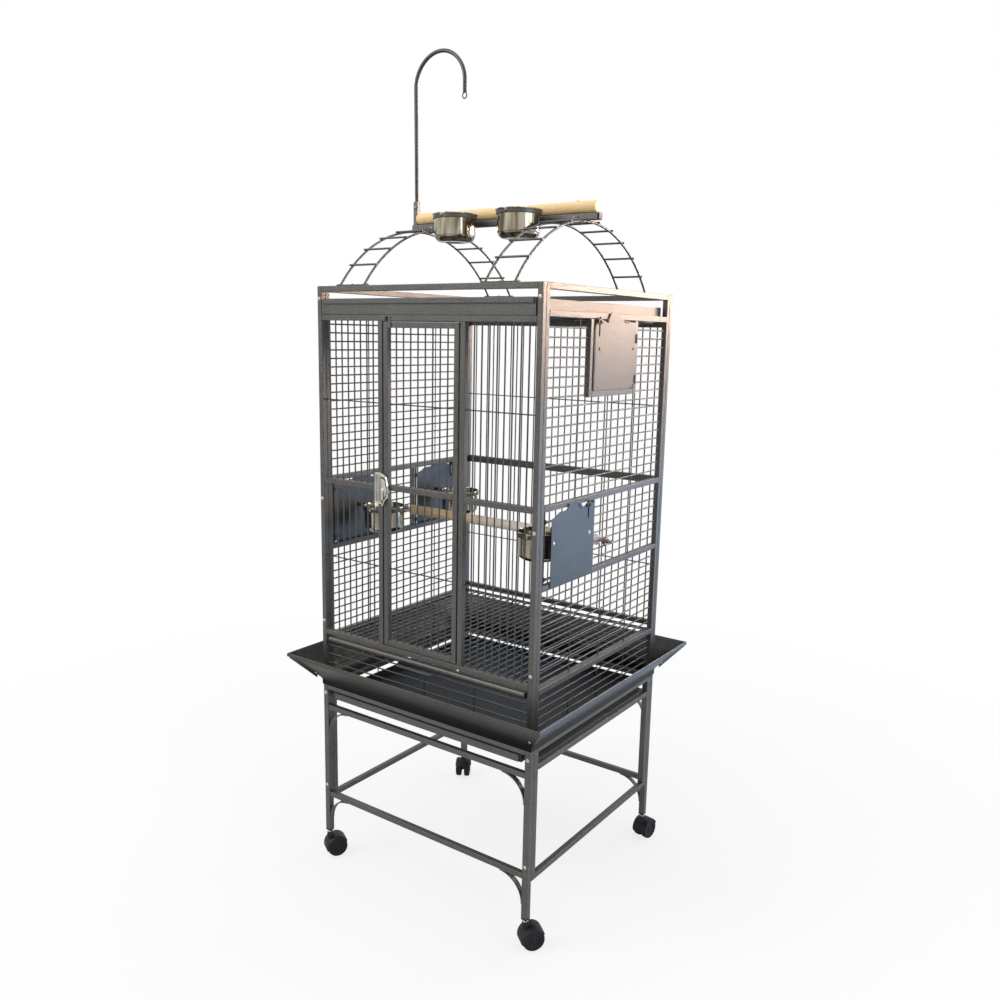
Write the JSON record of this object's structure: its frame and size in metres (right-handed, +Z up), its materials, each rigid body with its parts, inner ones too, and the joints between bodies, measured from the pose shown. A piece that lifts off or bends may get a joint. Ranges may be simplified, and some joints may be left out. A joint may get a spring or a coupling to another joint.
{
  "type": "play top parrot cage",
  "caption": "Tall bird cage of square tube and wire on a stand with casters, with a front door, feeder doors, nest door, pull-out trays, sloping seed guards and an arched play top.",
  "frame": {"origin": "on the floor under the middle of the cage between the front, back and side panels", "axes": "+X towards the cage's right side seen from the front, -Y out of the front door, +Z up"},
  "size_m": [0.7292, 0.6908, 1.9584],
  "materials": {
    "powder_coat": "dark grey hammered powder coat",
    "polished_steel": "polished stainless steel",
    "cast_chrome": "cast and chromed",
    "pale_wood": "bare turned hardwood",
    "black_plastic": "moulded nylon",
    "black_fitting": "black coated fittings"
  },
  "bodies": {
    "cage": {"front_frame": "powder_coat", "back_frame": "powder_coat", "left_frame": "powder_coat", "right_frame": "powder_coat", "front_left_bars": "powder_coat", "front_right_bars": "powder_coat", "front_lower_grille": "powder_coat", "back_bars": "powder_coat", "left_upper_bars": "powder_coat", "left_middle_bars": "powder_coat", "left_lower_bars": "powder_coat", "right_nest_front_bars": "powder_coat", "right_nest_rear_bars": "powder_coat", "right_upper_bars": "powder_coat", "right_middle_bars": "powder_coat", "right_lower_bars": "powder_coat", "top_grille": "powder_coat", "seed_guard_front": "powder_coat", "seed_guard_back": "powder_coat", "seed_guard_left": "powder_coat", "seed_guard_right": "powder_coat", "stand_front_frame": "powder_coat", "stand_rear_frame": "powder_coat", "stand_left_frame": "powder_coat", "stand_right_frame": "powder_coat", "latch_keeper": "cast_chrome", "left_arch": "powder_coat", "right_arch": "powder_coat", "play_beam": "powder_coat", "play_dowel": "pale_wood", "play_cup_left_ring": "black_fitting", "play_cup_right_ring": "black_fitting", "inner_perch": "pale_wood"},
    "front_door": {"front_door": "powder_coat"},
    "latch_lever": {"latch_lever": "cast_chrome"},
    "top_tray": {"top_tray": "powder_coat"},
    "bottom_tray": {"bottom_tray": "powder_coat"},
    "floor_grate": {"floor_grate": "powder_coat"},
    "right_feeder_door": {"right_feeder_door": "powder_coat"},
    "right_feeder_cup": {"right_feeder_cup": "polished_steel"},
    "right_feeder_latch": {"right_feeder_latch": "black_fitting"},
    "left_front_feeder_door": {"left_front_feeder_door": "powder_coat"},
    "left_front_feeder_cup": {"left_front_feeder_cup": "polished_steel"},
    "left_front_feeder_latch": {"left_front_feeder_latch": "black_fitting"},
    "left_rear_feeder_door": {"left_rear_feeder_door": "powder_coat"},
    "left_rear_feeder_cup": {"left_rear_feeder_cup": "polished_steel"},
    "left_rear_feeder_latch": {"left_rear_feeder_latch": "black_fitting"},
    "nest_door": {"nest_door": "powder_coat"},
    "nest_latch": {"nest_latch": "black_fitting"},
    "play_cup_left": {"play_cup_left": "polished_steel"},
    "play_cup_right": {"play_cup_right": "polished_steel"},
    "toy_hook": {"toy_hook": "powder_coat"},
    "caster_fr": {"caster_fr": "black_plastic"},
    "wheels_fr": {"wheels_fr": "black_plastic"},
    "caster_fl": {"caster_fl": "black_plastic"},
    "wheels_fl": {"wheels_fl": "black_plastic"},
    "caster_br": {"caster_br": "black_plastic"},
    "wheels_br": {"wheels_br": "black_plastic"},
    "caster_bl": {"caster_bl": "black_plastic"},
    "wheels_bl": {"wheels_bl": "black_plastic"}
  },
  "joints": [
    {"name": "front_door_hinge", "type": "hinge", "parent": "cage", "child": "front_door", "pos_m": [0.09765, -0.27695, 0.6013], "axis": [0, 0, 1], "range_deg": [0, 105]},
    {"name": "latch_lever_turn", "type": "hinge", "parent": "front_door", "child": "latch_lever", "pos_m": [-0.09765, -0.2833, 0.962], "axis": [0, -1, 0], "range_deg": [0, 60]},
    {"name": "top_tray_slide", "type": "slide", "parent": "cage", "child": "top_tray", "axis": [0, -1, 0], "range_m": [0, 0.45]},
    {"name": "bottom_tray_slide", "type": "slide", "parent": "cage", "child": "bottom_tray", "axis": [0, -1, 0], "range_m": [0, 0.45]},
    {"name": "floor_grate_slide", "type": "slide", "parent": "cage", "child": "floor_grate", "axis": [0, -1, 0], "range_m": [0, 0.45]},
    {"name": "right_feeder_hinge", "type": "hinge", "parent": "cage", "child": "right_feeder_door", "pos_m": [0.29865, -0.2475, 0.7957], "axis": [0, 0, -1], "range_deg": [0, 100]},
    {"name": "right_feeder_cup_lift", "type": "slide", "parent": "right_feeder_door", "child": "right_feeder_cup", "axis": [0, 0, 1], "range_m": [0, 0.07]},
    {"name": "right_feeder_latch_slide", "type": "slide", "parent": "right_feeder_door", "child": "right_feeder_latch", "axis": [0, 0, -1], "range_m": [0, 0.025]},
    {"name": "left_front_feeder_hinge", "type": "hinge", "parent": "cage", "child": "left_front_feeder_door", "pos_m": [-0.29865, -0.2475, 0.7957], "axis": [0, 0, 1], "range_deg": [0, 100]},
    {"name": "left_front_feeder_cup_lift", "type": "slide", "parent": "left_front_feeder_door", "child": "left_front_feeder_cup", "axis": [0, 0, 1], "range_m": [0, 0.07]},
    {"name": "left_front_feeder_latch_slide", "type": "slide", "parent": "left_front_feeder_door", "child": "left_front_feeder_latch", "axis": [0, 0, -1], "range_m": [0, 0.025]},
    {"name": "left_rear_feeder_hinge", "type": "hinge", "parent": "cage", "child": "left_rear_feeder_door", "pos_m": [-0.29865, 0.0515, 0.7957], "axis": [0, 0, 1], "range_deg": [0, 100]},
    {"name": "left_rear_feeder_cup_lift", "type": "slide", "parent": "left_rear_feeder_door", "child": "left_rear_feeder_cup", "axis": [0, 0, 1], "range_m": [0, 0.07]},
    {"name": "left_rear_feeder_latch_slide", "type": "slide", "parent": "left_rear_feeder_door", "child": "left_rear_feeder_latch", "axis": [0, 0, -1], "range_m": [0, 0.025]},
    {"name": "nest_door_hinge", "type": "hinge", "parent": "cage", "child": "nest_door", "pos_m": [0.3075, 0.10078, 1.1927], "axis": [0, 0, 1], "range_deg": [0, 150]},
    {"name": "nest_latch_slide", "type": "slide", "parent": "nest_door", "child": "nest_latch", "axis": [0, 0, -1], "range_m": [0, 0.025]},
    {"name": "play_cup_left_lift", "type": "slide", "parent": "cage", "child": "play_cup_left", "axis": [0, 0, 1], "range_m": [0, 0.07]},
    {"name": "play_cup_right_lift", "type": "slide", "parent": "cage", "child": "play_cup_right", "axis": [0, 0, 1], "range_m": [0, 0.07]},
    {"name": "toy_hook_turn", "type": "hinge", "parent": "cage", "child": "toy_hook", "pos_m": [-0.25265, 0, 1.6209], "axis": [0, 0, 1], "continuous": true},
    {"name": "caster_fr_turn", "type": "hinge", "parent": "cage", "child": "caster_fr", "pos_m": [0.2975, -0.2758, 0.068], "axis": [0, 0, 1], "continuous": true},
    {"name": "wheels_fr_roll", "type": "hinge", "parent": "caster_fr", "child": "wheels_fr", "pos_m": [0.30673, -0.26398, 0.025], "axis": [-0.788, 0.6157, 0], "continuous": true},
    {"name": "caster_fl_turn", "type": "hinge", "parent": "cage", "child": "caster_fl", "pos_m": [-0.2975, -0.2758, 0.068], "axis": [0, 0, 1], "continuous": true},
    {"name": "wheels_fl_roll", "type": "hinge", "parent": "caster_fl", "child": "wheels_fl", "pos_m": [-0.29, -0.26281, 0.025], "axis": [-0.866, 0.5, 0], "continuous": true},
    {"name": "caster_br_turn", "type": "hinge", "parent": "cage", "child": "caster_br", "pos_m": [0.2975, 0.2758, 0.068], "axis": [0, 0, 1], "continuous": true},
    {"name": "wheels_br_roll", "type": "hinge", "parent": "caster_br", "child": "wheels_br", "pos_m": [0.29959, 0.29065, 0.025], "axis": [-0.9903, 0.1392, 0], "continuous": true},
    {"name": "caster_bl_turn", "type": "hinge", "parent": "cage", "child": "caster_bl", "pos_m": [-0.2975, 0.2758, 0.068], "axis": [0, 0, 1], "continuous": true},
    {"name": "wheels_bl_roll", "type": "hinge", "parent": "caster_bl", "child": "wheels_bl", "pos_m": [-0.29, 0.26281, 0.025], "axis": [0.866, 0.5, 0], "continuous": true}
  ]
}
